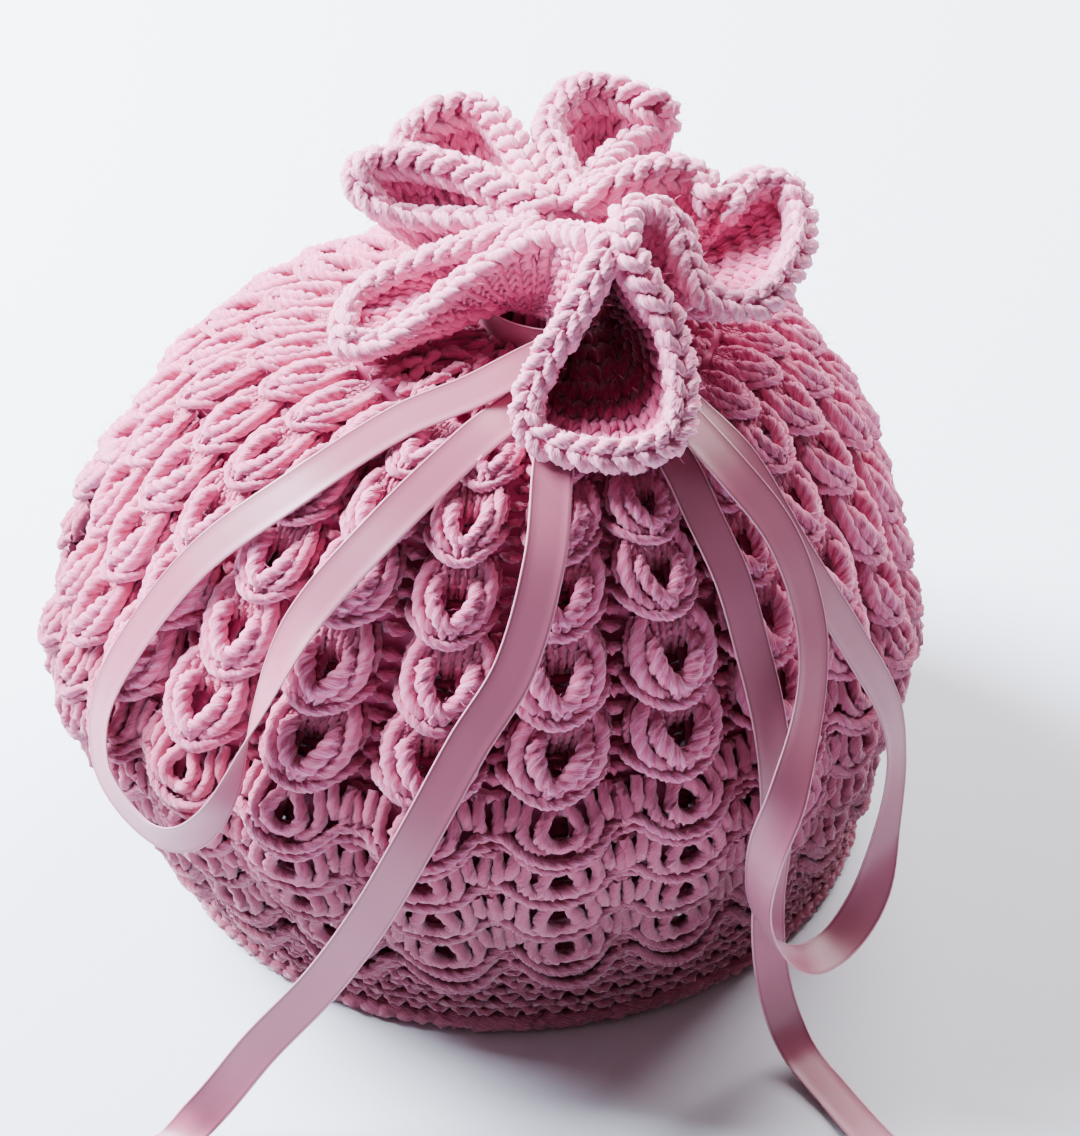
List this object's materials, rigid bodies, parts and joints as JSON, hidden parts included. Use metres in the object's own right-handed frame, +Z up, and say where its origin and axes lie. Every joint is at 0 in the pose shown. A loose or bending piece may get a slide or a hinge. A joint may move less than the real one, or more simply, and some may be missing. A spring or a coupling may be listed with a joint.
{
  "type": "tea cosy",
  "caption": "Hand-knitted tea cosy with scalloped eyelet sides, openings for spout and handle, and a petal frill gathered by a satin ribbon bow.",
  "frame": {"origin": "on the table under the hem, at the centre of the whole part's box", "axes": "+Z up, +X from the spout opening towards the handle opening, -Y towards the front, where the ribbon ends lie"},
  "size_m": [0.234, 0.2714, 0.1991],
  "materials": {
    "wool": "plied wool yarn, knitted, slightly fuzzy",
    "satin_ribbon": "woven satin with a soft sheen and fine woven edges"
  },
  "bodies": {
    "root": {"front_panel": "wool", "back_panel": "wool", "ribbon": "satin_ribbon"}
  },
  "joints": []
}
